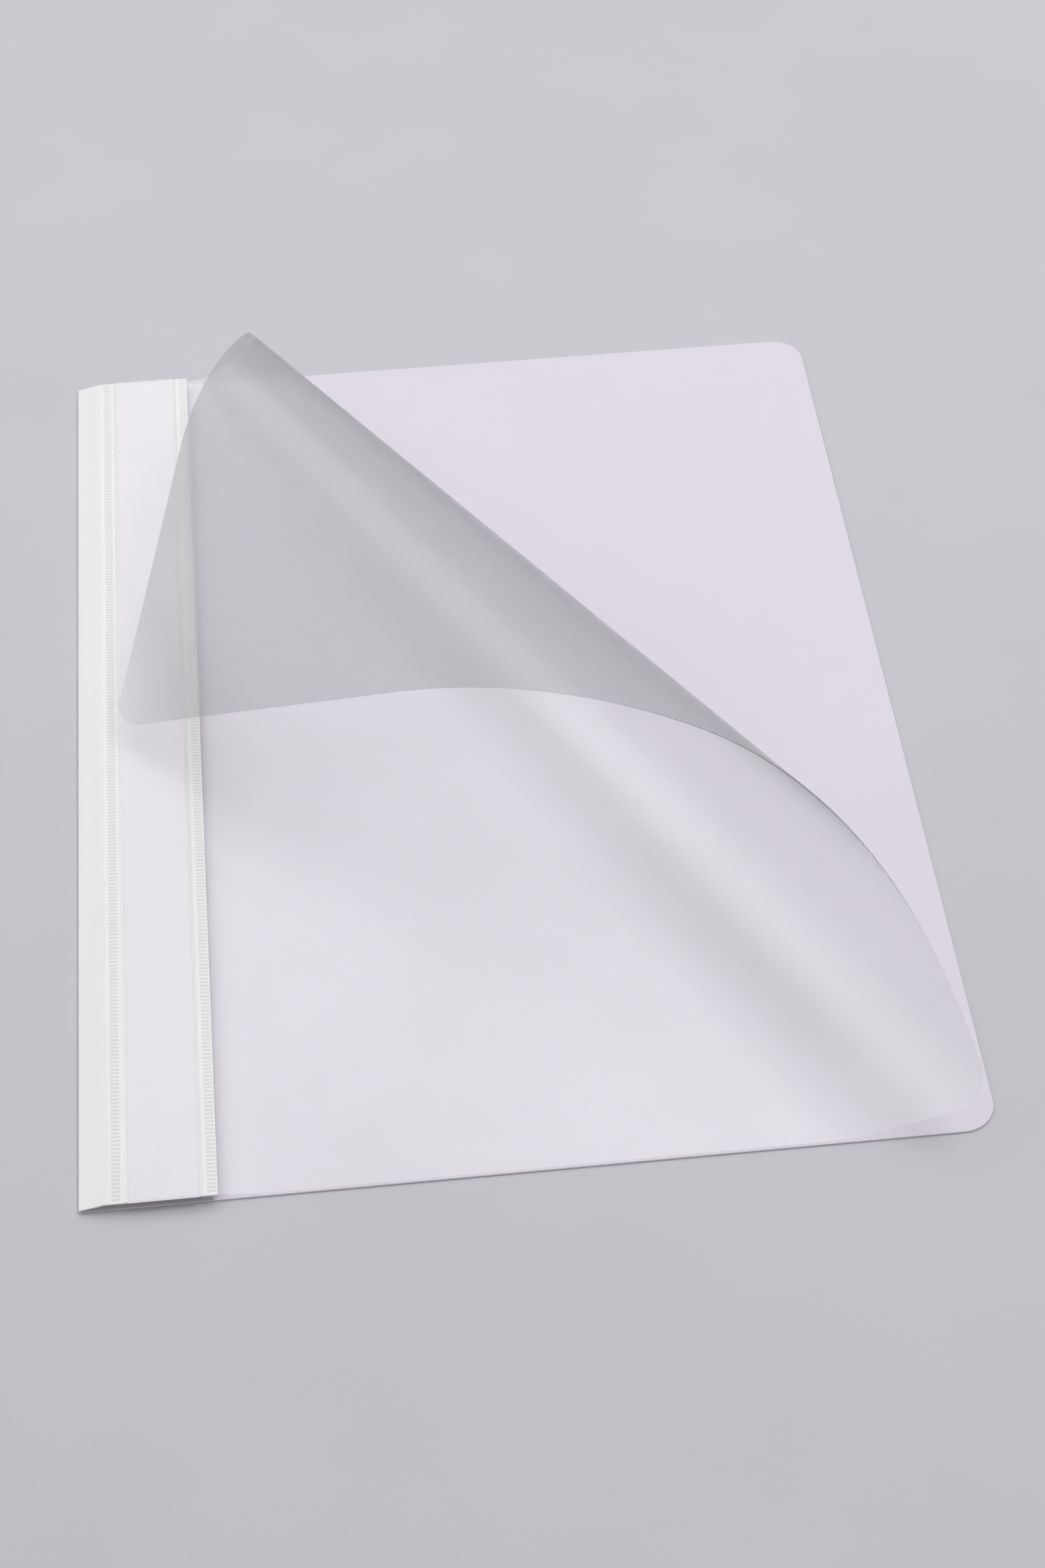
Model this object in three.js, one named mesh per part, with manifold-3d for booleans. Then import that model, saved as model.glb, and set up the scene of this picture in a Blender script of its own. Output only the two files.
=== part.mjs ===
// Flat file folder with a clear front cover, a title strip and a two-prong fastener.
// Millimetres. The back cover lies on z = 0 with its centre at the origin.
// +X points away from the spine, +Y towards the head of the page.

import * as THREE from 'three';
import { mergeVertices } from 'three/addons/utils/BufferGeometryUtils.js';
import Module from 'manifold-3d';

const wasm = await Module();
wasm.setup();

// Covers
const coverWidth = 234;
const coverHeight = 310;
const cornerRadius = 9;
const sheetThickness = 0.5;
const filmThickness = 0.25;
const frontInset = 0.4;

// Spine and title strip, measured from the outer fold
const foldGap = 0.3;
const creaseGap = 0.3;
const spineRun = 6.8;
const stripWidth = 28.2;

// Title window and its label
const windowFilm = 0.2;
const windowInset = 0.5;
const weldMargin = 4.3;
const rampRun = 0.8;
const labelWidth = 17.7;
const labelThickness = 0.25;
const labelSideGap = 0.3;
const labelFaceGap = 0.1;
const labelSlip = 0.4;

// Fastener, for sheets punched with two holes
const holeSpacing = 80;
const holeToFold = 17;
const steelThickness = 0.25;
const prongWidth = 5;
const prongLength = 30;
const prongGap = 0.1;
const tabReach = 0.85;
const slotGap = 0.35;
const grooveGap = 0.15;
const filingWidth = 21;
const filingLength = 160;
const filingThickness = 0.7;
const filingCorner = 4;
const filingShift = 1.5;
const barWidth = 12;
const barLength = 108;
const barThickness = 0.6;
const coverGap = 0.25;

// Front cover: its welded margin, the slope beside the strip and the gap under it
const frontWeld = 6;
const slopeRun = 12;
const frontLift = 0.3;

// Roll of the front cover. The sheet leaves the flat along a straight line through
// liftApex, given from the sheet's top right corner, and then bends in stages. In each
// stage the bend lines fan out from one point, and slide moves that point along the line
// where the stage begins. Sweep is in degrees, sharpness is bend per turn of the fan.
const liftApexX = -423.6;
const liftApexY = 419.2;
const liftAngle = -62.72;
const middleSlide = 306;
const lastSlide = -400;
const bends = [
  { sweep: 2.82, sharpness: 16.57, slide: 0, steps: 8 },
  { sweep: 8.47, sharpness: 13.09, slide: middleSlide, steps: 18 },
  { sweep: 3.96, sharpness: 13.93, slide: lastSlide, steps: 9 },
];

// Mesh fineness
const cornerSteps = 8;
const slopeSteps = 4;
const weldDigits = 6;

// Heights, worked out from the stack between the covers
const backTop = sheetThickness;
const steelTop = backTop + steelThickness;
const filingTop = backTop + filingThickness;
const barTop = filingTop + barThickness;
const prongUnder = barTop + prongGap;
const stripUnder = prongUnder + steelThickness + coverGap;
const stripTop = stripUnder + sheetThickness;
const labelUnder = stripTop + labelFaceGap;
const pocketRoof = labelUnder + labelThickness + labelFaceGap;
const frontUnder = backTop + frontLift;

// Places across the file
const foldX = -coverWidth / 2;
const creaseX = foldX + spineRun;
const stripEdge = creaseX + stripWidth;
const fastenerX = foldX + holeToFold;
const windowLeft = creaseX + windowInset;
const pocketLeft = windowLeft + weldMargin + rampRun;
const labelLeft = pocketLeft + labelSideGap;
const pocketRight = labelLeft + labelWidth + labelSideGap;
const filingLeft = fastenerX - filingWidth / 2 + filingShift;

// Plain shapes

function material(color, roughness, metalness = 0, opacity = 1) {
  return new THREE.MeshStandardMaterial({
    color, roughness, metalness, opacity, transparent: opacity < 1,
  });
}

function box(x0, x1, y0, y1, z0, z1) {
  const geometry = new THREE.BoxGeometry(x1 - x0, y1 - y0, z1 - z0);
  return geometry.translate((x0 + x1) / 2, (y0 + y1) / 2, (z0 + z1) / 2);
}

function roundedOutline(x0, x1, y0, y1, leftRadius, rightRadius) {
  const shape = new THREE.Shape();
  shape.moveTo(x0 + leftRadius, y0);
  shape.lineTo(x1 - rightRadius, y0);
  shape.absarc(x1 - rightRadius, y0 + rightRadius, rightRadius, -Math.PI / 2, 0);
  shape.lineTo(x1, y1 - rightRadius);
  shape.absarc(x1 - rightRadius, y1 - rightRadius, rightRadius, 0, Math.PI / 2);
  shape.lineTo(x0 + leftRadius, y1);
  if (leftRadius > 0) {
    shape.absarc(x0 + leftRadius, y1 - leftRadius, leftRadius, Math.PI / 2, Math.PI);
    shape.lineTo(x0, y0 + leftRadius);
    shape.absarc(x0 + leftRadius, y0 + leftRadius, leftRadius, Math.PI, Math.PI * 1.5);
  }
  return shape;
}

function plate(shape, z0, z1) {
  const options = { depth: z1 - z0, bevelEnabled: false, curveSegments: cornerSteps };
  return new THREE.ExtrudeGeometry(shape, options).translate(0, 0, z0);
}

function shapeOf(points) {
  return new THREE.Shape(points.map(([across, up]) => new THREE.Vector2(across, up)));
}

// A section drawn across the file, x and z, and run along its height
function runAlongY(points, length) {
  const options = { depth: length, bevelEnabled: false };
  const geometry = new THREE.ExtrudeGeometry(shapeOf(points), options);
  return geometry.rotateX(Math.PI / 2).translate(0, length / 2, 0);
}

// A section drawn along the file, y and z, and run across its width around middleX
function runAlongX(points, width, middleX) {
  const options = { depth: width, bevelEnabled: false, curveSegments: cornerSteps };
  const geometry = new THREE.ExtrudeGeometry(shapeOf(points), options);
  return geometry.rotateZ(Math.PI / 2).rotateY(Math.PI / 2).translate(middleX - width / 2, 0, 0);
}

function toSolid(geometry) {
  const bare = geometry.clone();
  bare.deleteAttribute('normal');
  bare.deleteAttribute('uv');
  const merged = mergeVertices(bare);
  const mesh = new wasm.Mesh({
    numProp: 3,
    vertProperties: new Float32Array(merged.attributes.position.array),
    triVerts: new Uint32Array(merged.index.array),
  });
  return new wasm.Manifold(mesh);
}

function fromSolid(solid) {
  const mesh = solid.getMesh();
  const geometry = new THREE.BufferGeometry();
  geometry.setAttribute('position', new THREE.BufferAttribute(mesh.vertProperties, 3));
  geometry.setIndex(new THREE.BufferAttribute(mesh.triVerts, 1));
  geometry.computeVertexNormals();
  return geometry;
}

function cut(geometry, tools) {
  const solid = tools.reduce((left, tool) => left.subtract(toSolid(tool)), toSolid(geometry));
  return fromSolid(solid);
}

// Folded sheet: back cover, spine panel and title strip

function backCover() {
  const halfHeight = coverHeight / 2;
  const left = foldX + foldGap;
  return plate(roundedOutline(left, -foldX, -halfHeight, halfHeight, 0, cornerRadius), 0, backTop);
}

function spinePanel() {
  const rise = stripUnder - backTop - foldGap;
  const length = Math.hypot(spineRun, rise);
  const endRun = spineRun * (1 - creaseGap / 2 / length);
  const endRise = rise * (1 - creaseGap / 2 / length);
  const leanX = -sheetThickness * rise / length;
  const leanZ = sheetThickness * spineRun / length;
  const start = [foldX, backTop + foldGap];
  const end = [foldX + endRun, backTop + foldGap + endRise];
  const endTop = [end[0] + leanX, end[1] + leanZ];
  const startTop = [start[0] + leanX, start[1] + leanZ];
  return runAlongY([start, end, endTop, startTop], coverHeight);
}

function titleStrip() {
  const halfHeight = coverHeight / 2;
  return box(creaseX + creaseGap / 2, stripEdge, -halfHeight, halfHeight, stripUnder, stripTop);
}

// Title window: film welded at both margins, raised over the label and open at both ends

function titleWindow() {
  const marginTop = stripTop + windowFilm;
  const roofTop = pocketRoof + windowFilm;
  const section = [
    [windowLeft, stripTop],
    [pocketLeft - rampRun, stripTop],
    [pocketLeft, pocketRoof],
    [pocketRight, pocketRoof],
    [pocketRight + rampRun, stripTop],
    [stripEdge, stripTop],
    [stripEdge, marginTop],
    [pocketRight + rampRun, marginTop],
    [pocketRight, roofTop],
    [pocketLeft, roofTop],
    [pocketLeft - rampRun, marginTop],
    [windowLeft, marginTop],
  ];
  return runAlongY(section, coverHeight);
}

// The label stands out a little at the foot of the strip
function titleLabel() {
  const foot = -coverHeight / 2 - labelSlip;
  const head = foot + coverHeight;
  return box(
    labelLeft, labelLeft + labelWidth, foot, head, labelUnder, labelUnder + labelThickness,
  );
}

// Fastener

function slotTools(z0, z1) {
  const halfWidth = prongWidth / 2 + slotGap;
  const halfSlot = steelThickness / 2 + slotGap;
  return [-1, 1].map((side) => {
    const y = side * holeSpacing / 2;
    return box(fastenerX - halfWidth, fastenerX + halfWidth, y - halfSlot, y + halfSlot, z0, z1);
  });
}

function filingStrip() {
  const halfLength = filingLength / 2;
  const right = filingLeft + filingWidth;
  const outline = roundedOutline(filingLeft, right, -halfLength, halfLength, filingCorner, filingCorner);
  const halfGroove = prongWidth / 2 + slotGap;
  const grooveEnd = holeSpacing / 2 + steelThickness / 2 + slotGap;
  const grooveTop = steelTop + grooveGap;
  const groove = box(
    fastenerX - halfGroove, fastenerX + halfGroove, -grooveEnd, grooveEnd, 0, grooveTop,
  );
  return cut(plate(outline, backTop, filingTop), [groove, ...slotTools(0, stripUnder)]);
}

function fastenerBase() {
  const outer = holeSpacing / 2 + steelThickness / 2;
  const inner = outer - steelThickness;
  const tabTop = backTop + steelThickness + tabReach;
  const section = [
    [-outer, backTop],
    [outer, backTop],
    [outer, tabTop],
    [inner, tabTop],
    [inner, steelTop],
    [-inner, steelTop],
    [-inner, tabTop],
    [-outer, tabTop],
  ];
  return runAlongX(section, prongWidth, fastenerX);
}

function compressorBar() {
  const left = fastenerX - barWidth / 2;
  const right = fastenerX + barWidth / 2;
  const end = barLength / 2;
  const outline = roundedOutline(left, right, -end, end, barWidth / 2, barWidth / 2);
  return cut(plate(outline, filingTop, barTop), slotTools(0, stripUnder));
}

// One prong, folded down towards the middle; side is 1 at the head of the page, -1 at the foot
function prong(side) {
  const root = holeSpacing / 2;
  const halfWidth = prongWidth / 2;
  const shape = new THREE.Shape();
  shape.moveTo(fastenerX - halfWidth, root);
  shape.lineTo(fastenerX - halfWidth, root - prongLength + halfWidth);
  shape.absarc(fastenerX, root - prongLength + halfWidth, halfWidth, Math.PI, Math.PI * 2);
  shape.lineTo(fastenerX + halfWidth, root);
  const half = plate(shape, prongUnder, prongUnder + steelThickness);
  return side > 0 ? half : half.rotateZ(Math.PI).translate(2 * fastenerX, 0, 0);
}

// Front cover: where each point of the flat sheet goes

const sheetLeft = stripEdge - frontWeld;
const sheetRight = -foldX - frontInset;
const sheetTop = coverHeight / 2 - frontInset;

function bendStages() {
  const radians = THREE.MathUtils.degToRad;
  let angle = radians(liftAngle);
  const flatApex = new THREE.Vector2(sheetRight + liftApexX, sheetTop + liftApexY);
  const apex = new THREE.Vector3(flatApex.x, flatApex.y, frontUnder);
  const along = new THREE.Vector3(Math.cos(angle), Math.sin(angle), 0);
  const normal = new THREE.Vector3(0, 0, 1);
  const turnRate = (bend) => normal.clone().addScaledVector(along, bend.sharpness);
  const stages = [];
  const addStage = (bend, start, end) => {
    stages.push({
      start, end, sharpness: bend.sharpness, turn: turnRate(bend), along: along.clone(),
      normal: normal.clone(), apex: apex.clone(), flatApex: flatApex.clone(),
    });
  };
  addStage({ sharpness: 0 }, angle, angle);
  for (const bend of bends) {
    flatApex.x += bend.slide * Math.cos(angle);
    flatApex.y += bend.slide * Math.sin(angle);
    apex.addScaledVector(along, bend.slide);
    const sweep = radians(bend.sweep);
    addStage(bend, angle, angle + sweep);
    const turn = turnRate(bend);
    const amount = sweep * turn.length();
    turn.normalize();
    along.applyAxisAngle(turn, amount);
    normal.applyAxisAngle(turn, amount);
    angle += sweep;
  }
  addStage({ sharpness: 0 }, angle, Infinity);
  return stages;
}

const stages = bendStages();

function rolledPoint(x, y) {
  const angleAt = (stage) => Math.atan2(y - stage.flatApex.y, x - stage.flatApex.x);
  const stage = stages.find((candidate) => angleAt(candidate) <= candidate.end);
  const reach = Math.hypot(x - stage.flatApex.x, y - stage.flatApex.y);
  const amount = (angleAt(stage) - stage.start) * stage.turn.length();
  const axis = stage.turn.clone().normalize();
  const point = stage.along.clone().applyAxisAngle(axis, amount).multiplyScalar(reach);
  const normal = stage.normal.clone().applyAxisAngle(axis, amount);
  return { point: point.add(stage.apex), normal };
}

// Beside the title strip the sheet slopes down from the weld to its place near the back cover
function sheetPoint(x, y, height) {
  const share = THREE.MathUtils.smoothstep(x, stripEdge, stripEdge + slopeRun);
  const rolled = rolledPoint(x, y);
  const up = new THREE.Vector3(0, 0, 1);
  const weld = new THREE.Vector3(x, y, stripUnder - filmThickness);
  const normal = up.lerp(rolled.normal, share).normalize();
  return weld.lerp(rolled.point, share).addScaledVector(normal, height);
}

// Flat sheet, cut into cells by every line along which it bends

function splitCells(cells, origin, direction) {
  const sideOf = ([x, y]) => (x - origin[0]) * direction[1] - (y - origin[1]) * direction[0];
  const halves = [];
  for (const cell of cells) {
    const right = [];
    const left = [];
    cell.forEach((point, index) => {
      const next = cell[(index + 1) % cell.length];
      const here = sideOf(point);
      const there = sideOf(next);
      if (here >= 0) right.push(point);
      if (here <= 0) left.push(point);
      if (here * there < 0) {
        const share = here / (here - there);
        const crossing = [0, 1].map((axis) => point[axis] + share * (next[axis] - point[axis]));
        right.push(crossing);
        left.push(crossing);
      }
    });
    halves.push(...[right, left].filter((half) => half.length > 2));
  }
  return halves;
}

function frontCells() {
  const outline = roundedOutline(sheetLeft, sheetRight, -sheetTop, sheetTop, 0, cornerRadius);
  const corners = outline.getPoints(cornerSteps).map(({ x, y }) => [x, y]);
  let cells = [corners.filter(([x, y], index) => {
    const [lastX, lastY] = corners.at(index - 1);
    return Math.hypot(x - lastX, y - lastY) > 10 ** -weldDigits;
  })];
  for (let step = 0; step <= slopeSteps; step += 1) {
    cells = splitCells(cells, [stripEdge + step * slopeRun / slopeSteps, 0], [0, 1]);
  }
  bends.forEach((bend, index) => {
    const stage = stages[index + 1];
    const last = index === bends.length - 1 ? bend.steps : bend.steps - 1;
    for (let step = 0; step <= last; step += 1) {
      const angle = stage.start + (stage.end - stage.start) * step / bend.steps;
      const origin = [stage.flatApex.x, stage.flatApex.y];
      cells = splitCells(cells, origin, [Math.cos(angle), Math.sin(angle)]);
    }
  });
  return cells;
}

// Closed thin shell over the cells: both faces, joined by a wall along the open edges
function frontCover() {
  const flat = [];
  const numbers = new Map();
  const numberOf = ([x, y]) => {
    const key = `${x.toFixed(weldDigits)},${y.toFixed(weldDigits)}`;
    if (!numbers.has(key)) {
      numbers.set(key, flat.length);
      flat.push([x, y]);
    }
    return numbers.get(key);
  };
  const cells = frontCells().map((cell) => cell.map(numberOf));
  const count = flat.length;
  const edges = new Set();
  const triangles = [];
  for (const cell of cells) {
    cell.forEach((start, index) => edges.add(`${start},${cell[(index + 1) % cell.length]}`));
    for (let index = 1; index < cell.length - 1; index += 1) {
      const [a, b, c] = [cell[0], cell[index], cell[index + 1]];
      triangles.push(a + count, b + count, c + count, a, c, b);
    }
  }
  for (const edge of edges) {
    const [start, end] = edge.split(',').map(Number);
    if (!edges.has(`${end},${start}`)) {
      triangles.push(start, end, end + count, start, end + count, start + count);
    }
  }
  const faces = [0, filmThickness].map((height) => flat.map(([x, y]) => sheetPoint(x, y, height)));
  const positions = faces.flat().flatMap((point) => point.toArray());
  const geometry = new THREE.BufferGeometry();
  geometry.setAttribute('position', new THREE.Float32BufferAttribute(positions, 3));
  geometry.setIndex(triangles);
  geometry.computeVertexNormals();
  return geometry;
}

// Materials and the finished object

const whitePlastic = () => material(0xe6e6e2, 0.45);
const clearFilm = () => material(0xd9dbe0, 0.35, 0, 0.45);
const paper = () => material(0xe4dee6, 0.9);
const steel = () => material(0xa9adb0, 0.35, 1);

const folder = new THREE.Group();

function add(name, geometry, look) {
  const mesh = new THREE.Mesh(geometry, look);
  mesh.name = name;
  folder.add(mesh);
}

add('back_cover', backCover(), whitePlastic());
add('spine_panel', spinePanel(), whitePlastic());
add('title_strip', titleStrip(), whitePlastic());
add('title_window', titleWindow(), clearFilm());
add('title_label', titleLabel(), paper());
add('front_cover', frontCover(), clearFilm());
add('filing_strip', filingStrip(), whitePlastic());
add('fastener_base', fastenerBase(), steel());
add('prong_upper', prong(1), steel());
add('prong_lower', prong(-1), steel());
add('compressor_bar', compressorBar(), whitePlastic());

export default folder;
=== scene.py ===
# Flat file folder with a clear matt front cover, a title strip and a two-prong fastener.
# Metres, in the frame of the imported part. The back cover lies on z = 0 around the origin,
# +X points away from the spine, and +Y points towards the head of the page.

import math

import bmesh
import bpy
import numpy as np
from mathutils import Matrix, Vector


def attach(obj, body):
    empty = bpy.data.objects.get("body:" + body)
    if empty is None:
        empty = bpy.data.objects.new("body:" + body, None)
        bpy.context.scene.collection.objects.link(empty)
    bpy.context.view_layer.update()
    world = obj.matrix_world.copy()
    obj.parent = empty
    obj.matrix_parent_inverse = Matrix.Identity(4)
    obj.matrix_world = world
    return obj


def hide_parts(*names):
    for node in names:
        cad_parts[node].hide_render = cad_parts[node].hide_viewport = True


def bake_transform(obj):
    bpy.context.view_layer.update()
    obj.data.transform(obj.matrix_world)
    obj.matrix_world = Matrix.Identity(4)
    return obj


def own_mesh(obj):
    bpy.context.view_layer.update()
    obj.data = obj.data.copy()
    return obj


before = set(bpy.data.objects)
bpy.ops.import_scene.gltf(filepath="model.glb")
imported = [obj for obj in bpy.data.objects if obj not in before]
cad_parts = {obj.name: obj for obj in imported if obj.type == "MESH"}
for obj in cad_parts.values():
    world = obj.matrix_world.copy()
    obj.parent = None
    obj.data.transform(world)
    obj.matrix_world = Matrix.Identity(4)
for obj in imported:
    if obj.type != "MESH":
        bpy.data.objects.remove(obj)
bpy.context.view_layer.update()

mm = 0.001


# Back cover
# A sheet of white polypropylene, 0.5 mm thick, with a fine matt grain. It is die cut with
# round corners, then scored and folded over at the left. This piece ends half way up the
# spine, where the sheet of the title strip goes on.

sheet_thickness = 0.5 * mm
half_height = 155 * mm
cover_right = 117 * mm
corner_radius = 9 * mm
fold_radius = 0.4 * mm
fold_centre = (-116.35 * mm, 0.65 * mm)
crease = (-110.2 * mm, 2.65 * mm)
cut_rounding = 0.08 * mm


def tidy_faces(mesh, sharp=35):
    """Turns every face outwards, and shades the mesh smooth apart from its sharp edges."""
    work = bmesh.new()
    work.from_mesh(mesh)
    bmesh.ops.recalc_face_normals(work, faces=work.faces)
    work.to_mesh(mesh)
    work.free()
    mesh.shade_smooth()
    mesh.set_sharp_from_angle(angle=math.radians(sharp))


def new_piece(name, points, faces, edge_from):
    """A mesh piece. Its points from edge_from on lie on the cut edge of the sheet."""
    mesh = bpy.data.meshes.new(name)
    mesh.from_pydata(np.asarray(points).tolist(), [], np.asarray(faces).tolist())
    tidy_faces(mesh)
    edge = mesh.attributes.new("cut_edge", "FLOAT", "POINT")
    edge.data.foreach_set("value", np.arange(len(points)) >= edge_from)
    piece = bpy.data.objects.new(name, mesh)
    bpy.context.scene.collection.objects.link(piece)
    return piece


def closed_sheet(name, under, over, rounding=cut_rounding, flush=None, marks=None):
    """A thin closed sheet between two grids of points, rows by columns.

    Its cut edge is rounded, apart from its first or last row where that is flush
    with the next sheet. Each mark is a named amount for each point of the grid.
    """
    rows, columns = under.shape[:2]
    index = np.arange(rows * columns).reshape(rows, columns)
    loop = np.concatenate([index[0, :-1], index[:-1, -1], index[-1, :0:-1], index[:0:-1, 0]])
    low, high = under.reshape(-1, 3).copy(), over.reshape(-1, 3).copy()
    thick, middle = high - low, (low + high) / 2
    along = middle[np.roll(loop, -1)] - middle[np.roll(loop, 1)]
    inward = np.cross(thick[loop], along)
    inward /= np.linalg.norm(inward, axis=1, keepdims=True)
    if inward[columns // 2] @ (middle[index[1, columns // 2]] - middle[loop[columns // 2]]) < 0:
        inward = -inward
    if flush is not None:
        inward[np.isin(loop, index[flush])] = 0
    share = rounding / np.linalg.norm(thick[loop], axis=1, keepdims=True)
    rim_low, rim_high = low[loop] + thick[loop] * share, high[loop] - thick[loop] * share
    low[loop] += inward * rounding
    high[loop] += inward * rounding
    count = rows * columns
    ring = 2 * count + np.arange(len(loop))
    levels = [loop, ring, ring + len(loop), count + loop]
    quads = np.stack([index[:-1, :-1], index[1:, :-1], index[1:, 1:], index[:-1, 1:]], -1)
    quads = quads.reshape(-1, 4)
    walls = [
        np.stack([a, np.roll(a, -1), np.roll(b, -1), b], -1) for a, b in zip(levels, levels[1:])
    ]
    points = np.concatenate([low, high, rim_low, rim_high])
    piece = new_piece(
        name, points, np.concatenate([quads[:, ::-1], quads + count] + walls), 2 * count)
    for label, grid in (marks or {}).items():
        values = grid.ravel()
        mark = piece.data.attributes.new(label, "FLOAT", "POINT")
        mark.data.foreach_set(
            "value", np.concatenate([values, values, values[loop], values[loop]]))
    return piece


def run_of(profile, normals, rows_y, thickness):
    """Both faces of a folded sheet: a profile across the file, run along its height."""
    rows_y = np.broadcast_to(rows_y, (len(profile), np.shape(rows_y)[-1]))
    faces = []
    for side in (-0.5, 0.5):
        line = np.asarray(profile) + side * thickness * np.asarray(normals)
        x, z = (np.repeat(line[:, axis:axis + 1], rows_y.shape[1], 1) for axis in (0, 1))
        faces.append(np.stack([x, rows_y, z], -1))
    return faces


def spine_line():
    """Lean of the spine, and the point where its middle line leaves the fold."""
    across, up = (crease[axis] - fold_centre[axis] for axis in (0, 1))
    lean = math.atan2(up, across) - math.asin(fold_radius / math.hypot(across, up))
    return lean, (fold_centre[0] - fold_radius * math.sin(lean),
                  fold_centre[1] + fold_radius * math.cos(lean))


def back_profile():
    """Middle line of the back sheet, from its right edge to the middle of the spine."""
    turns = np.sin(np.linspace(math.pi / 2, 0, 13))
    corner = cover_right - corner_radius * (1 - turns)
    flat = np.concatenate([corner, np.linspace(corner[-1], fold_centre[0], 40)[1:]])
    points = [(x, sheet_thickness / 2) for x in flat]
    normals = [(0, 1)] * len(points)
    for turn in np.linspace(0, math.pi - spine_lean, 13)[1:]:
        inward = (math.sin(turn), math.cos(turn))
        points.append(tuple(fold_centre[axis] - fold_radius * inward[axis] for axis in (0, 1)))
        normals.append(inward)
    return points + [spine_middle], normals + normals[-1:]


def rounded_rows(across, right, half, radius, count):
    """Heights of the rows at each place across a sheet whose right corners are round."""
    past = np.clip(np.asarray(across) - (right - radius), 0, radius)
    reach = half - radius + np.sqrt(radius ** 2 - past ** 2)
    return reach[:, None] * np.linspace(-1, 1, count)


spine_lean, spine_start = spine_line()
spine_middle = tuple((spine_start[axis] + crease[axis]) / 2 for axis in (0, 1))
profile, profile_normals = back_profile()
rows = rounded_rows([x for x, _ in profile], cover_right, half_height, corner_radius, 64)
back_sheet = closed_sheet(
    "back_sheet", *run_of(profile, profile_normals, rows, sheet_thickness), flush=-1)


def add_node(tree, kind, sockets=None, **settings):
    """A new node. A socket that is given another node's output is linked to it."""
    made = tree.nodes.new(kind)
    for name, value in settings.items():
        setattr(made, name, value)
    for key, value in (sockets or {}).items():
        if isinstance(value, bpy.types.NodeSocket):
            tree.links.new(value, made.inputs[key])
        else:
            made.inputs[key].default_value = value
    return made


def mixed(tree, share, low, high):
    """Colour between two others."""
    return add_node(tree, "ShaderNodeMix", {0: share, 6: low, 7: high}, data_type="RGBA").outputs[2]


def ranged(tree, value, least, most, low=0, high=1):
    """Value carried from one range to another, and held inside it."""
    return add_node(tree, "ShaderNodeMapRange", {
        "Value": value, "From Min": least, "From Max": most, "To Min": low, "To Max": high,
    }).outputs["Result"]


def new_group(name, inputs, outputs):
    """A shader node group with named sockets: the tree, what it is given, and its end."""
    tree = bpy.data.node_groups.new(name, "ShaderNodeTree")
    for label, kind, value in inputs:
        tree.interface.new_socket(label, in_out="INPUT", socket_type=kind).default_value = value
    for label, kind in outputs:
        tree.interface.new_socket(label, in_out="OUTPUT", socket_type=kind)
    return tree, add_node(tree, "NodeGroupInput").outputs, add_node(tree, "NodeGroupOutput").inputs


number, colour, vector = "NodeSocketFloat", "NodeSocketColor", "NodeSocketVector"


def grain_group():
    """Fine pressed grain of a sheet, with a slow drift of its tone and gloss."""
    tree, given, end = new_group("pressed_grain", [
        ("Light tone", colour, (0.8, 0.8, 0.8, 1)), ("Deep tone", colour, (0.7, 0.7, 0.7, 1)),
        ("Grains per metre", number, 2500), ("Stretch", vector, (1, 1, 1)),
        ("Depth", number, 1e-5),
        ("Least roughness", number, 0.4), ("Most roughness", number, 0.5),
    ], [("Colour", colour), ("Roughness", number), ("Normal", vector)])
    place = add_node(tree, "ShaderNodeTexCoord").outputs["Object"]
    lie = add_node(tree, "ShaderNodeVectorMath", {
        0: place, 1: given["Stretch"]}, operation="MULTIPLY").outputs[0]
    fine = add_node(tree, "ShaderNodeTexNoise", {
        "Vector": lie, "Scale": given["Grains per metre"], "Detail": 2,
        "Roughness": 0.55}).outputs["Fac"]
    broad = add_node(tree, "ShaderNodeTexNoise", {
        "Vector": place, "Scale": 14, "Detail": 3, "Roughness": 0.5}).outputs["Fac"]
    both = add_node(tree, "ShaderNodeMath", {0: fine, 1: 0.3, 2: broad}, operation="MULTIPLY_ADD")
    share = ranged(tree, both.outputs[0], 0.45, 0.85)
    links = tree.links
    links.new(mixed(tree, share, given["Deep tone"], given["Light tone"]), end["Colour"])
    rough = add_node(tree, "ShaderNodeMapRange", {
        "Value": share, "To Min": given["Least roughness"], "To Max": given["Most roughness"]})
    links.new(rough.outputs["Result"], end["Roughness"])
    bump = add_node(tree, "ShaderNodeBump", {"Height": fine, "Distance": given["Depth"]})
    links.new(bump.outputs["Normal"], end["Normal"])
    return tree


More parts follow.
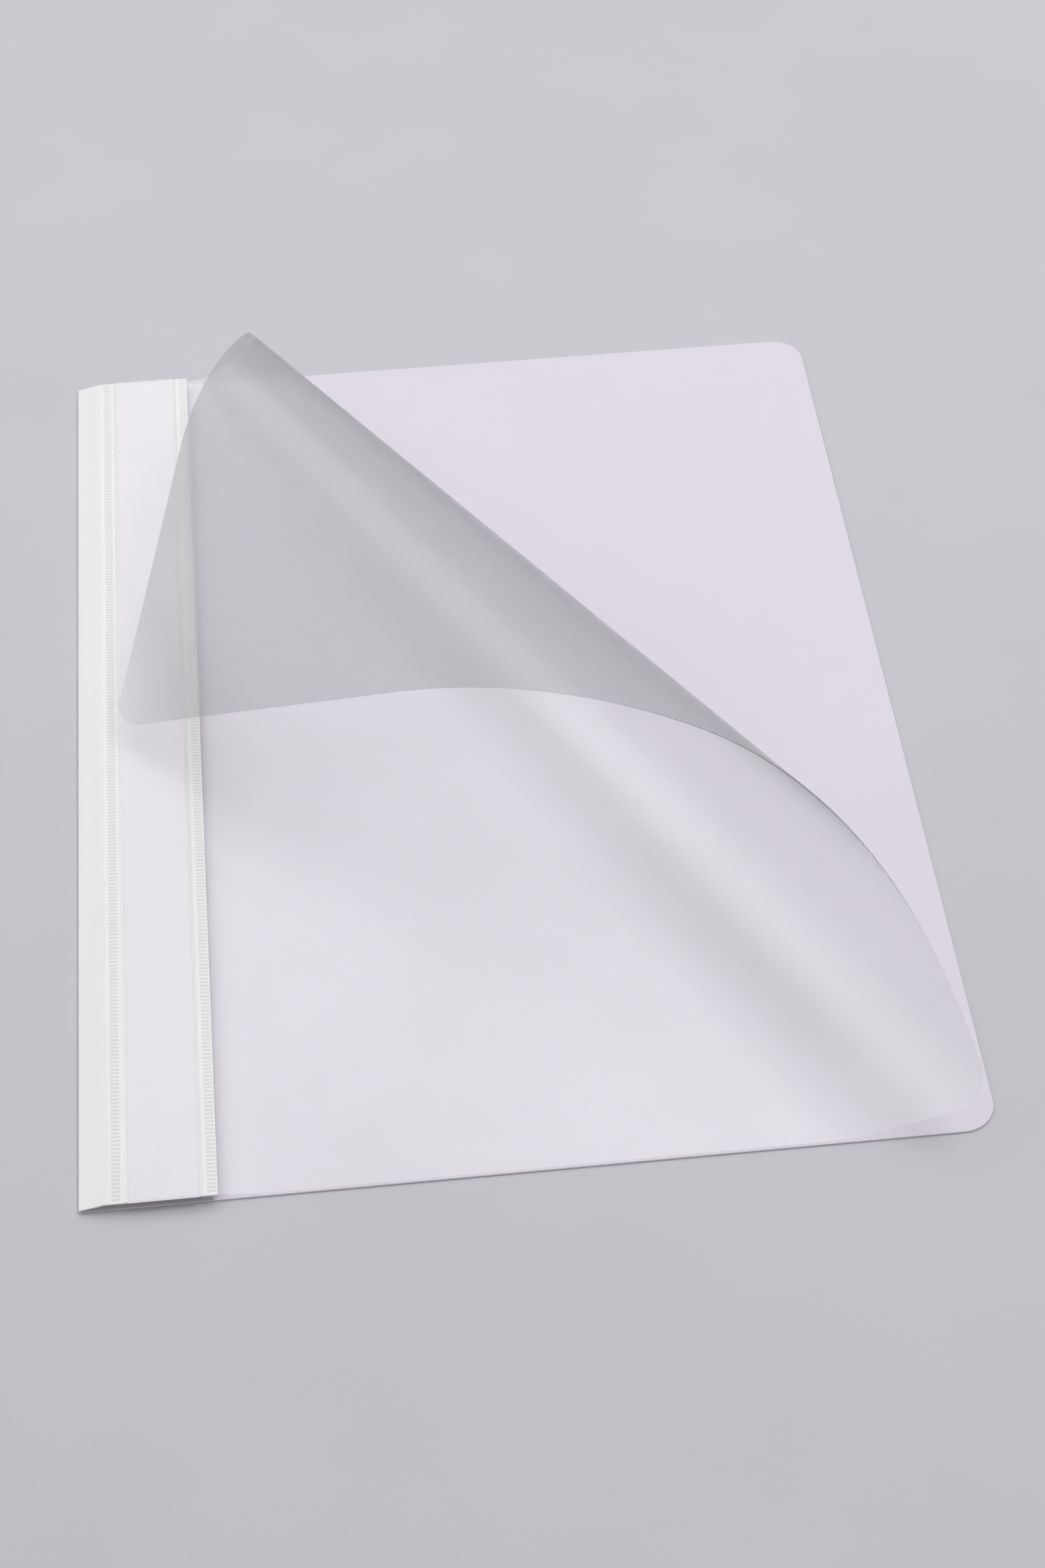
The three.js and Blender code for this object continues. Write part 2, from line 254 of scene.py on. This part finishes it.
def edge_light_and_rub_group():
    """Cut edges in a painted highlight tone, and faint long rub marks that are a little glossier.
    """
    tree, given, end = new_group("edge_highlight_and_rub_wear", [
        ("Colour", colour, (0.8, 0.8, 0.8, 1)), ("Edge tone", colour, (0.9, 0.9, 0.9, 1)),
        ("Roughness", number, 0.4), ("Rub gloss", number, 0.08), ("Rub amount", number, 0.5),
    ], [("Colour", colour), ("Roughness", number)])
    place = add_node(tree, "ShaderNodeTexCoord").outputs["Object"]
    rubs = None
    for turn, stretch in ((0.5, 5), (-0.9, 7)):
        lie = add_node(tree, "ShaderNodeMapping", {
            "Vector": place, "Rotation": (0, 0, turn), "Scale": (9, 9 * stretch, 9)})
        streak = add_node(tree, "ShaderNodeTexNoise", {
            "Vector": lie.outputs["Vector"], "Scale": 3, "Detail": 2, "Roughness": 0.5})
        mark = ranged(tree, streak.outputs["Fac"], 0.5, 0.8)
        rubs = mark if rubs is None else add_node(
            tree, "ShaderNodeMath", {0: rubs, 1: mark}, operation="MAXIMUM").outputs[0]
    rubs = add_node(
        tree, "ShaderNodeMath", {0: rubs, 1: given["Rub amount"]}, operation="MULTIPLY").outputs[0]
    # Painted highlight: cut edges take the Edge tone, mostly brighter than the face.
    edge = add_node(tree, "ShaderNodeAttribute", attribute_name="cut_edge").outputs["Fac"]
    links = tree.links
    links.new(mixed(tree, edge, given["Colour"], given["Edge tone"]), end["Colour"])
    less = add_node(tree, "ShaderNodeMath", {
        0: rubs, 1: given["Rub gloss"]}, operation="MULTIPLY").outputs[0]
    left = add_node(tree, "ShaderNodeMath", {
        0: given["Roughness"], 1: less}, operation="SUBTRACT").outputs[0]
    links.new(left, end["Roughness"])
    return tree


pressed_grain, edge_highlight_and_wear = grain_group(), edge_light_and_rub_group()


def linear(red, green, blue):
    """Colour of a finish as the eye reads it, 0 to 255, turned into amounts of light."""
    parts = [value / 255 for value in (red, green, blue)]
    return tuple(
        v / 12.92 if v <= 0.04045 else ((v + 0.055) / 1.055) ** 2.4 for v in parts) + (1,)


def finish_parts(name, grain, edge_light_and_rubs):
    """A material, its Principled shader, and the grain, painted edge highlight and wear that feed
    it.
    """
    look = bpy.data.materials.new(name)
    look.use_nodes = True
    tree = look.node_tree
    shader = tree.nodes["Principled BSDF"]
    pressed = add_node(tree, "ShaderNodeGroup", node_tree=pressed_grain)
    lit_edges_and_rubs = add_node(tree, "ShaderNodeGroup", node_tree=edge_highlight_and_wear)
    for node, values in ((pressed, grain), (lit_edges_and_rubs, edge_light_and_rubs)):
        for label, value in values.items():
            node.inputs[label].default_value = value
    for label in ("Colour", "Roughness"):
        tree.links.new(pressed.outputs[label], lit_edges_and_rubs.inputs[label])
    tree.links.new(lit_edges_and_rubs.outputs["Colour"], shader.inputs["Base Color"])
    tree.links.new(lit_edges_and_rubs.outputs["Roughness"], shader.inputs["Roughness"])
    tree.links.new(pressed.outputs["Normal"], shader.inputs["Normal"])
    return look, tree, shader


def wear_look(piece, look):
    piece.data.materials.clear()
    piece.data.materials.append(look)


white_sheet, tree, shader = finish_parts("white_sheet", {
    "Light tone": linear(230, 224, 234), "Deep tone": linear(226, 220, 230),
    "Grains per metre": 2400, "Depth": 0.012 * mm,
    "Least roughness": 0.42, "Most roughness": 0.52,
}, {"Edge tone": linear(238, 236, 240), "Rub amount": 0.5})
# Painted light: the flat back's lavender and the paler, neutral white are one sheet's colour under
# differently coloured light. Where the sheet rises above the back's face, round the fold and up the
# spine, it is painted in the neutral white.
painted_light_tone = linear(244, 244, 244)
painted_light_height = 0.7 * mm
height = add_node(tree, "ShaderNodeSeparateXYZ", {
    0: add_node(tree, "ShaderNodeTexCoord").outputs["Object"]}).outputs["Z"]
painted_light_share = ranged(tree, height, sheet_thickness, painted_light_height)
back_tone = shader.inputs["Base Color"].links[0].from_socket
tree.links.new(mixed(tree, painted_light_share, back_tone, painted_light_tone), shader.inputs["Base Color"])
wear_look(back_sheet, white_sheet)
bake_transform(back_sheet)
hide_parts("back_cover")


# Fastener
# A strip of white plastic on the back cover, beside the fold, holds a bent band of thin
# steel. The band's two prongs come up through slots, go through the punched holes of the
# sheets, and fold down over a loose moulded bar that keeps the sheets flat.

fastener_x = -100 * mm
root_half = 40 * mm
steel_thickness = 0.25 * mm
prong_half = 2.5 * mm
prong_length = 30 * mm
prong_height = 2.025 * mm
tab_top = 1.6 * mm
root_bend = 0.3 * mm
slot_half = (2.85 * mm, 0.475 * mm)
slot_corner = 0.2 * mm
groove_top = 0.9 * mm
steel_rounding = 0.04 * mm
same_place = 0.001 * mm
face_depth = 0.01 * mm
filing_box = ((-109 * mm, -80 * mm, 0.5 * mm), (-88 * mm, 80 * mm, 1.2 * mm))
bar_box = ((-106 * mm, -54 * mm, 1.2 * mm), (-94 * mm, 54 * mm, 1.8 * mm))


def rounded_ring(low, high, radius, steps=12):
    """Outline of a rectangle with round corners."""
    turns = np.linspace(0, math.pi / 2, steps)
    ring = []
    for quarter, (x, y) in enumerate((
            (high[0] - radius, high[1] - radius), (low[0] + radius, high[1] - radius),
            (low[0] + radius, low[1] + radius), (high[0] - radius, low[1] + radius))):
        at = turns + quarter * math.pi / 2
        ring.append(np.stack([x + radius * np.cos(at), y + radius * np.sin(at)], -1))
    return np.concatenate(ring)


def slotted_plate(name, corners, radius, rounding):
    """A flat moulding with a slot for each prong, and with all its edges rounded."""
    low, high = corners
    outline = bpy.data.curves.new(name, "CURVE")
    outline.dimensions, outline.fill_mode = "2D", "BOTH"
    outline.bevel_resolution, outline.bevel_depth, outline.offset = 2, rounding, -rounding
    outline.extrude = (high[2] - low[2]) / 2 - rounding
    rings = [rounded_ring(low, high, radius)]
    for y in (-root_half, root_half):
        rings.append(rounded_ring((fastener_x - slot_half[0], y - slot_half[1]),
                                  (fastener_x + slot_half[0], y + slot_half[1]), slot_corner, 4))
    for ring in rings:
        line = outline.splines.new("POLY")
        line.points.add(len(ring) - 1)
        line.points.foreach_set("co", np.pad(ring, ((0, 0), (0, 2))).ravel())
        line.use_cyclic_u = True
    drawn = bpy.data.objects.new(name, outline)
    work = bmesh.new()
    work.from_mesh(drawn.to_mesh())
    bpy.data.objects.remove(drawn)
    bpy.data.curves.remove(outline)
    bmesh.ops.remove_doubles(work, verts=work.verts, dist=same_place)
    bmesh.ops.translate(work, verts=work.verts, vec=(0, 0, (low[2] + high[2]) / 2))
    mesh = bpy.data.meshes.new(name)
    work.to_mesh(mesh)
    work.free()
    piece = bpy.data.objects.new(name, mesh)
    bpy.context.scene.collection.objects.link(piece)
    return piece


def grooved(piece, low, high):
    """Cuts a straight groove out of a piece."""
    work = bmesh.new()
    size = [b - a for a, b in zip(low, high)]
    middle = [(a + b) / 2 for a, b in zip(low, high)]
    bmesh.ops.create_cube(
        work, size=1, matrix=Matrix.Translation(middle) @ Matrix.Diagonal((*size, 1)))
    block = bpy.data.meshes.new("groove_block")
    work.to_mesh(block)
    work.free()
    cutter = bpy.data.objects.new("groove_block", block)
    bpy.context.scene.collection.objects.link(cutter)
    cut = piece.modifiers.new("groove", "BOOLEAN")
    cut.operation, cut.object, cut.solver = "DIFFERENCE", cutter, "EXACT"
    bpy.context.view_layer.update()
    shaped = bpy.data.meshes.new_from_object(
        piece.evaluated_get(bpy.context.evaluated_depsgraph_get()))
    piece.modifiers.clear()
    piece.data = shaped
    bpy.data.objects.remove(cutter)


def edge_marked(piece, low, high):
    """Shades a plate, and marks its edges for the painted edge highlight of its finish."""
    tidy_faces(piece.data, 50)
    heights = np.array([point.co.z for point in piece.data.vertices])
    edge = piece.data.attributes.new("cut_edge", "FLOAT", "POINT")
    inside = (heights > low[2] + face_depth) & (heights < high[2] - face_depth)
    edge.data.foreach_set("value", inside.astype(float))


def along_file(faces):
    """Faces of a folded strip, turned so that it runs along the height of the file."""
    return [face[..., [1, 0, 2]] + np.array([fastener_x, 0, 0]) for face in faces]


def bent(path, centre, start, end, steps=6):
    """Adds a round bend to a path of places and normals. Angles are those of the radius."""
    for turn in np.linspace(start, end, steps):
        up = (math.cos(turn), math.sin(turn))
        path[0].append((centre[0] + root_bend * up[0], centre[1] + root_bend * up[1]))
        path[1].append(up)


def band_faces():
    """The steel band under the strip, with a tab turned up at each end."""
    low = sheet_thickness + steel_thickness / 2
    path = ([(-root_half, tab_top)], [(-1, 0)])
    bent(path, (-root_half + root_bend, low + root_bend), math.pi, 1.5 * math.pi)
    bent(path, (root_half - root_bend, low + root_bend), 1.5 * math.pi, 2 * math.pi)
    path[0].append((root_half, tab_top))
    path[1].append((1, 0))
    across = np.linspace(-prong_half, prong_half, 9)
    return along_file(run_of(*path, across, steel_thickness))


def prong_faces(side):
    """One prong: its root turns out of the tab, and its blade ends in a round tip."""
    path = ([(root_half, tab_top)], [(1, 0)])
    bent(path, (root_half - root_bend, prong_height - root_bend), 0, math.pi / 2)
    tip = root_half - prong_length
    rounds = np.sin(np.linspace(0, math.radians(84), 14))
    blade = np.concatenate([np.linspace(root_half - root_bend, tip + prong_half, 12)[1:],
                            tip + prong_half * (1 - rounds[1:])])
    path[0].extend((y, prong_height) for y in blade)
    path[1].extend([(0, 1)] * len(blade))
    from_tip = [tip + prong_half - y for y, _ in path[0]]
    across = rounded_rows(from_tip, prong_half, prong_half, prong_half, 9)
    faces = along_file(run_of(*path, across, steel_thickness))
    return [face * np.array([1, side, 1]) for face in faces]


filing_strip = slotted_plate(
    "filing_strip_plastic", filing_box, radius=4 * mm, rounding=0.12 * mm)
grooved(filing_strip, (fastener_x - slot_half[0], -root_half - slot_half[1], 0),
        (fastener_x + slot_half[0], root_half + slot_half[1], groove_top))
edge_marked(filing_strip, *filing_box)
bar = slotted_plate("sheet_bar", bar_box, radius=5.99 * mm, rounding=0.15 * mm)
edge_marked(bar, *bar_box)
band = closed_sheet("steel_band", *band_faces(), rounding=steel_rounding)
prongs = {side: closed_sheet(name, *prong_faces(side), rounding=steel_rounding)
          for side, name in ((1, "upper_prong_blade"), (-1, "lower_prong_blade"))}

filing_plastic, _, _ = finish_parts("filing_plastic", {
    "Light tone": linear(229, 229, 227), "Deep tone": linear(223, 223, 221),
    "Grains per metre": 3400, "Depth": 0.01 * mm,
    "Least roughness": 0.34, "Most roughness": 0.46,
}, {"Edge tone": linear(238, 238, 236), "Rub amount": 0.7})
bar_plastic, _, _ = finish_parts("bar_plastic", {
    "Light tone": linear(224, 225, 226), "Deep tone": linear(217, 218, 219),
    "Grains per metre": 6000, "Stretch": (1, 0.2, 1), "Depth": 0.008 * mm,
    "Least roughness": 0.3, "Most roughness": 0.42,
}, {"Edge tone": linear(234, 234, 234), "Rub amount": 0.8})
steel, _, shader = finish_parts("bright_steel", {
    "Light tone": linear(208, 209, 212), "Deep tone": linear(184, 186, 190),
    "Grains per metre": 9000, "Stretch": (1, 0.03, 1), "Depth": 0.004 * mm,
    "Least roughness": 0.22, "Most roughness": 0.36,
}, {"Edge tone": linear(222, 223, 226), "Rub amount": 0.9})
shader.inputs["Metallic"].default_value = 1

for piece, look, node, slot in (
        (filing_strip, filing_plastic, "filing_strip", "filing_plastic"),
        (band, steel, "fastener_base", "fastener_steel"),
        (bar, bar_plastic, "compressor_bar", "bar_plastic"),
        (prongs[1], steel, "prong_upper", "fastener_steel"),
        (prongs[-1], steel, "prong_lower", "fastener_steel")):
    wear_look(piece, look)
    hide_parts(node)
for piece in (filing_strip, band, bar):
    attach(piece, "back")
for side, body in ((1, "upper_prong"), (-1, "lower_prong")):
    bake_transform(prongs[side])


# Title strip
# The far side of the same sheet, past a second score. Upper half of the spine, a soft
# crease, and the flat strip that carries the title window and is welded to the front cover.

crease_radius = 0.5 * mm
strip_right = -82 * mm


def strip_profile():
    """Middle line of the strip's sheet, from the middle of the spine to the strip's edge."""
    reach = crease_radius * math.tan(spine_lean / 2)
    centre = (crease[0] + reach, crease[1] - crease_radius)
    points, normals = [spine_middle], [(math.sin(spine_lean), -math.cos(spine_lean))]
    for turn in np.linspace(spine_lean, 0, 7):
        up = (-math.sin(turn), math.cos(turn))
        points.append(tuple(centre[axis] + crease_radius * up[axis] for axis in (0, 1)))
        normals.append((-up[0], -up[1]))
    for x in np.linspace(points[-1][0], strip_right, 12)[1:]:
        points.append((x, crease[1]))
        normals.append((0, -1))
    return points, normals


profile, profile_normals = strip_profile()
rows = np.linspace(-half_height, half_height, 64)
strip_sheet = closed_sheet(
    "strip_sheet", *run_of(profile, profile_normals, rows, sheet_thickness), flush=0)
# Painted light: this is the back cover's sheet, painted in the paler, neutral white of its spine
# for the light that falls on this side of the file.
strip_painted_light_white, _, _ = finish_parts("strip_painted_light_white", {
    "Light tone": linear(245, 245, 245), "Deep tone": linear(241, 241, 241),
    "Grains per metre": 2400, "Depth": 0.012 * mm,
    "Least roughness": 0.42, "Most roughness": 0.52,
}, {"Edge tone": linear(245, 245, 245), "Rub amount": 0.5})
wear_look(strip_sheet, strip_painted_light_white)
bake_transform(strip_sheet)
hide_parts("spine_panel", "title_strip")


# Title label
# A strip of smooth white paper, as long as the file, that slides in the title window.
# It stands out a little at the foot.

label_box = ((-104.3 * mm, -155.4 * mm, 3.0 * mm), (-86.6 * mm, 154.6 * mm, 3.25 * mm))


def flat_grid(low, high, height, across, along):
    """Grid of points over a flat rectangle."""
    x, y = np.meshgrid(
        np.linspace(low[0], high[0], across), np.linspace(low[1], high[1], along), indexing="ij")
    return np.stack([x, y, np.full_like(x, height)], -1)


low, high = label_box
title_label = closed_sheet(
    "label_paper", flat_grid(low, high, low[2], 8, 64), flat_grid(low, high, high[2], 8, 64),
    rounding=0.04 * mm)
paper, _, shader = finish_parts("label_paper", {
    "Light tone": linear(240, 237, 243), "Deep tone": linear(236, 233, 239),
    "Grains per metre": 5200, "Depth": 0.015 * mm,
    "Least roughness": 0.8, "Most roughness": 0.9,
}, {"Edge tone": linear(238, 236, 240), "Rub amount": 0.1})
shader.inputs["Specular IOR Level"].default_value = 0.2
wear_look(title_label, paper)
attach(title_label, "label")
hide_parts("title_label")


# Title window
# Clear matt film, nearly 0.2 mm thick, welded to the strip along both margins, where the
# weld leaves a ladder of small rungs. Between the welds it stands up over the label, and
# it is open at both ends.

window_film = 0.18 * mm
film_gap = 0.02 * mm
film_rounding = 0.05 * mm
rung_pitch = 1.17 * mm
rung_depth = 0.07 * mm
rung_sides = (-0.3, -0.22, 0.22, 0.3)
rung_grey = 0.6
window_section = (
    (-109.7, 2.9), (-109.0, 2.9), (-108.6, 2.9), (-108.45, 2.9), (-106.35, 2.9), (-106.2, 2.9),
    (-105.4, 2.9), (-105.1, 3.05), (-104.85, 3.3), (-104.6, 3.35), (-100, 3.36), (-95.5, 3.36),
    (-91, 3.36), (-86.3, 3.35), (-86.05, 3.3), (-85.8, 3.05), (-85.5, 2.9), (-84.7, 2.9),
    (-84.55, 2.9), (-82.45, 2.9), (-82.3, 2.9), (-82.02, 2.9),
)
rung_bands = ((-108.5, -106.3), (-84.6, -82.4))


def window_faces():
    """Both faces of the window's film, with the rungs pressed into its upper face."""
    section = np.array(window_section) * mm
    count = int(2 * half_height / rung_pitch)
    marks = (np.arange(count) + 0.5 - count / 2) * rung_pitch
    inner = (marks[:, None] + np.array(rung_sides) * rung_pitch).ravel()
    y = np.concatenate([[-half_height], inner, [half_height]])
    pressed = np.concatenate([[0], np.tile([0, 1, 1, 0], count), [0]])
    x, z = section[:, 0], section[:, 1] + film_gap
    band = np.any([(x > a * mm) & (x < b * mm) for a, b in rung_bands], axis=0)
    under = np.stack(np.broadcast_arrays(x[:, None], y, z[:, None]), -1)
    rungs = band[:, None] * pressed
    over = under.copy()
    over[..., 2] += window_film - rung_depth * rungs
    return under, over, rungs


under, over, rungs = window_faces()
title_window = closed_sheet(
    "title_window_film", under, over, rounding=film_rounding,
    marks={"greyed": rung_grey * rungs})

film_index, skin_index = 1.12, 1.49
# The grey tone goes to the window's weld rungs, and as painted shade to the front cover's
# turned-over corner.
grey_tone, grey_skin = (0.73, 0.735, 0.745, 1), 0.15
scatter_heights, scatter_shares = (3.6 * mm, 6 * mm), (0.05, 0.1)


def clear_film(name, tones, grain_depth, grains, clearness, skin):
    """Clear polypropylene with a pressed matt skin.

    It is greyer and less glossy by its greyed mark. Most of the light that falls on the
    pieces below goes straight through it, less where it stands high or the light grazes it.
    """
    look, tree, shader = finish_parts(name, {
        "Light tone": tones[0], "Deep tone": tones[1], "Grains per metre": grains,
        "Depth": grain_depth, "Least roughness": 0.17, "Most roughness": 0.24,
    }, {"Edge tone": linear(250, 251, 252), "Rub amount": 0.3})
    shader.inputs["Transmission Weight"].default_value = clearness
    shader.inputs["IOR"].default_value = film_index
    # On the front cover the greyed mark is painted shade on the turned-over corner. On the window
    # it marks the weld rungs.
    greyed = add_node(tree, "ShaderNodeAttribute", attribute_name="greyed").outputs["Fac"]
    tree.links.new(ranged(tree, greyed, 0, 1, 1, grey_skin), shader.inputs["Coat Weight"])
    tone = shader.inputs["Base Color"].links[0].from_socket
    tree.links.new(mixed(tree, greyed, tone, grey_tone), shader.inputs["Base Color"])
    shader.inputs["Coat Roughness"].default_value = skin
    shader.inputs["Coat IOR"].default_value = skin_index
    path = add_node(tree, "ShaderNodeLightPath").outputs
    lighting = add_node(tree, "ShaderNodeMath", {
        0: path["Is Shadow Ray"], 1: path["Is Diffuse Ray"]}, operation="MAXIMUM").outputs[0]
    through = add_node(tree, "ShaderNodeBsdfTransparent", {"Color": (1, 1, 1, 1)})
    back = add_node(tree, "ShaderNodeBsdfDiffuse", {"Color": (0.9, 0.9, 0.9, 1)})
    facing = add_node(tree, "ShaderNodeLayerWeight", {"Blend": 0.5}).outputs["Facing"]
    glance = add_node(tree, "ShaderNodeMath", {0: facing, 1: 4}, operation="POWER").outputs[0]
    height = add_node(tree, "ShaderNodeSeparateXYZ", {
        0: add_node(tree, "ShaderNodeTexCoord").outputs["Object"]}).outputs["Z"]
    least = ranged(tree, height, *scatter_heights, *scatter_shares)
    stopped = add_node(tree, "ShaderNodeMapRange", {
        "Value": glance, "To Min": least, "To Max": 1}).outputs["Result"]
    light = add_node(tree, "ShaderNodeMixShader", {
        0: stopped, 1: through.outputs[0], 2: back.outputs[0]})
    chosen = add_node(tree, "ShaderNodeMixShader", {
        0: lighting, 1: shader.outputs[0], 2: light.outputs[0]})
    tree.links.new(chosen.outputs[0], tree.nodes["Material Output"].inputs["Surface"])
    return look


window_look = clear_film(
    "window_film", (linear(251, 251, 251), linear(248, 248, 248)),
    grain_depth=0.006 * mm, grains=2600, clearness=0.93, skin=0.4)
wear_look(title_window, window_look)
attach(title_window, "front")
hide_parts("title_window")


# Front cover
# Clear matt polypropylene film, 0.25 mm thick, welded under the right edge of the title
# strip. Its top right corner is rolled over towards the strip, and the film springs back
# up in a wide bend whose lines fan out across the sheet.

film_thickness = 0.25 * mm
film_left, film_right, film_half = -88 * mm, 116.6 * mm, 154.6 * mm
film_height = 0.8 * mm
weld_height = 2.13 * mm
slope_run = 12 * mm
lift_apex = (film_right - 423.6 * mm, film_half + 419.2 * mm)
lift_angle = math.radians(-62.72)
bends = ((2.82, 16.57, 0), (8.47, 13.09, 306 * mm), (3.96, 13.93, -400 * mm))
flat_tail = (360, 0, 0)
film_step = 1.5 * mm
full_turn = 0.8 * film_thickness
painted_shade_heights, painted_shade_amounts = (4 * mm, 20 * mm), (0.25, 1)


def turned(vectors, axis, angles):
    """Vectors turned about one axis by an angle each."""
    c, s = np.cos(angles)[:, None], np.sin(angles)[:, None]
    along = (vectors @ axis)[:, None] * axis
    return vectors * c + np.cross(axis, vectors) * s + along * (1 - c)


def rolled(x, y):
    """Place and normal of each point of the flat film once its corner is rolled over.

    In each stage the film bends along lines that fan out from one apex. A stage is its
    sweep in degrees, its bend per turn of the fan, and the slide of the apex before it.
    """
    flat_apex, angle = np.array(lift_apex), lift_angle
    apex = np.array([*lift_apex, film_height])
    frame_axes = np.array([[math.cos(angle), -math.sin(angle), 0],
                           [math.sin(angle), math.cos(angle), 0], [0, 0, 1]])
    place = np.stack([x, y, np.full_like(x, film_height)], -1)
    normal = np.tile([0.0, 0.0, 1.0], (len(x), 1))
    for sweep, sharpness, slide in (*bends, flat_tail):
        flat_apex = flat_apex + slide * np.array([math.cos(angle), math.sin(angle)])
        apex = apex + slide * frame_axes[:, 0]
        at = np.arctan2(y - flat_apex[1], x - flat_apex[0]) - angle
        reach = np.hypot(x - flat_apex[0], y - flat_apex[1])[:, None]
        axis = np.array([sharpness, 0, 1.0])
        rate = np.linalg.norm(axis)
        axis /= rate
        sweep = math.radians(sweep)
        held = at > 0
        turn = np.minimum(at, sweep) * rate
        ahead = turned(np.tile([1.0, 0, 0], (len(x), 1)), axis, turn)
        up = turned(np.tile([0, 0, 1.0], (len(x), 1)), axis, turn)
        place[held] = (apex + reach * (ahead @ frame_axes.T))[held]
        normal[held] = (up @ frame_axes.T)[held]
        step = np.array([turned(v[None], axis, np.array([sweep * rate]))[0] for v in np.eye(3)]).T
        frame_axes = frame_axes @ step
        angle += sweep
        x, y = np.where(at > sweep, x, np.nan), np.where(at > sweep, y, np.nan)
    return place, normal


def film_faces(step):
    """Both faces of the front cover, sloping down beside the strip and rolled at the corner."""
    arc = np.sin(np.linspace(0, math.pi / 2, 15))
    flat_end = film_right - corner_radius
    across = np.concatenate([
        np.linspace(film_left, flat_end, int((flat_end - film_left) / step)),
        flat_end + corner_radius * arc[1:]])
    along = rounded_rows(across, film_right, film_half, corner_radius, int(2 * film_half / step))
    x = np.repeat(across[:, None], along.shape[1], 1)
    with np.errstate(invalid="ignore"):
        place, normal = rolled(x.ravel(), along.ravel())
    share = np.clip((x.ravel() - strip_right) / slope_run, 0, 1)[:, None]
    share = share * share * (3 - 2 * share)
    weld = np.stack([x.ravel(), along.ravel(), np.full(x.size, weld_height)], -1)
    normal = np.array([0, 0, 1.0]) * (1 - share) + normal * share
    normal /= np.linalg.norm(normal, axis=1, keepdims=True)
    under = weld * (1 - share) + place * share
    shape = (*x.shape, 3)
    return under.reshape(shape), (under + film_thickness * normal).reshape(shape)


under, over = film_faces(film_step)
# Painted shade: where the film is turned over it is greyed, more the higher it stands over the
# file, for the shade in and under the rolled corner. The same mark makes that face less glossy.
turned_over = np.clip((under - over)[..., 2] / full_turn, 0, 1)
greyed = turned_over * np.interp(under[..., 2], painted_shade_heights, painted_shade_amounts)
front_film = closed_sheet(
    "front_film", under, over, rounding=film_rounding, marks={"greyed": greyed})
film_look = clear_film(
    "matt_film", (linear(252, 252, 253), linear(250, 250, 251)),
    grain_depth=0.01 * mm, grains=1900, clearness=0.93, skin=0.38)
wear_look(front_film, film_look)
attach(front_film, "front")
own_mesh(front_film)
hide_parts("front_cover")


# Floor, lights and camera
# A plain pale floor under three soft lamps and a pale sky that is brightest overhead, seen
# from above the foot of the file. Sizes and places here are in metres.

floor_size, floor_drop = 6, 0.05 * mm
sky_low, sky_high, sky_rise, sky_strength = (0.6, 0.6, 0.62, 1), (1, 1, 1, 1), 0.8, 0.42
camera_place = (-0.04195, -0.54494, 0.60197)
camera_right = Vector((0.99464, -0.10321, -0.00664))
camera_up = Vector((0.08234, 0.75132, 0.65479))

bpy.ops.mesh.primitive_plane_add(size=floor_size, location=(0, 0, -floor_drop))
floor = bpy.context.object
floor.name = "floor"
floor_look, _, _ = finish_parts("pale_floor", {
    "Light tone": linear(206, 206, 212), "Deep tone": linear(202, 202, 208),
    "Grains per metre": 900, "Depth": 0.01 * mm,
    "Least roughness": 0.6, "Most roughness": 0.7,
}, {"Rub amount": 0})
wear_look(floor, floor_look)


def soft_lamp(name, place, size, power):
    """An area lamp that is turned towards the middle of the file. Its power is in watts."""
    lamp = bpy.data.lights.new(name, "AREA")
    lamp.shape = "RECTANGLE"
    lamp.size, lamp.size_y = size
    lamp.energy = power
    held = bpy.data.objects.new(name, lamp)
    held.location = place
    held.rotation_euler = (-Vector(place)).to_track_quat("-Z", "Y").to_euler()
    bpy.context.scene.collection.objects.link(held)


soft_lamp("right_lamp", (0.62, 0.1, 1.22), size=(0.5, 0.5), power=5)
soft_lamp("left_lamp", (-1.05, 0.3, 0.8), size=(1.0, 1.0), power=4.6)
soft_lamp("far_lamp", (0.1, 1.21, 1.33), size=(2.0, 1.0), power=9)

world = bpy.data.worlds.new("studio")
bpy.context.scene.world = world
world.use_nodes = True
tree = world.node_tree
rise = add_node(tree, "ShaderNodeSeparateXYZ", {
    0: add_node(tree, "ShaderNodeTexCoord").outputs["Generated"]}).outputs["Z"]
sky = mixed(tree, ranged(tree, rise, 0, sky_rise), sky_low, sky_high)
tree.links.new(sky, tree.nodes["Background"].inputs["Color"])
tree.nodes["Background"].inputs["Strength"].default_value = sky_strength

camera = bpy.data.objects.new("camera", bpy.data.cameras.new("camera"))
camera.data.sensor_width = 36
camera.data.lens = 64.73
camera.data.clip_start = 0.01
camera.matrix_world = Matrix.Translation(camera_place) @ Matrix(
    (camera_right, camera_up, camera_right.cross(camera_up))).transposed().to_4x4()
bpy.context.scene.collection.objects.link(camera)
bpy.context.scene.camera = camera
bpy.context.scene.view_settings.view_transform = "Standard"
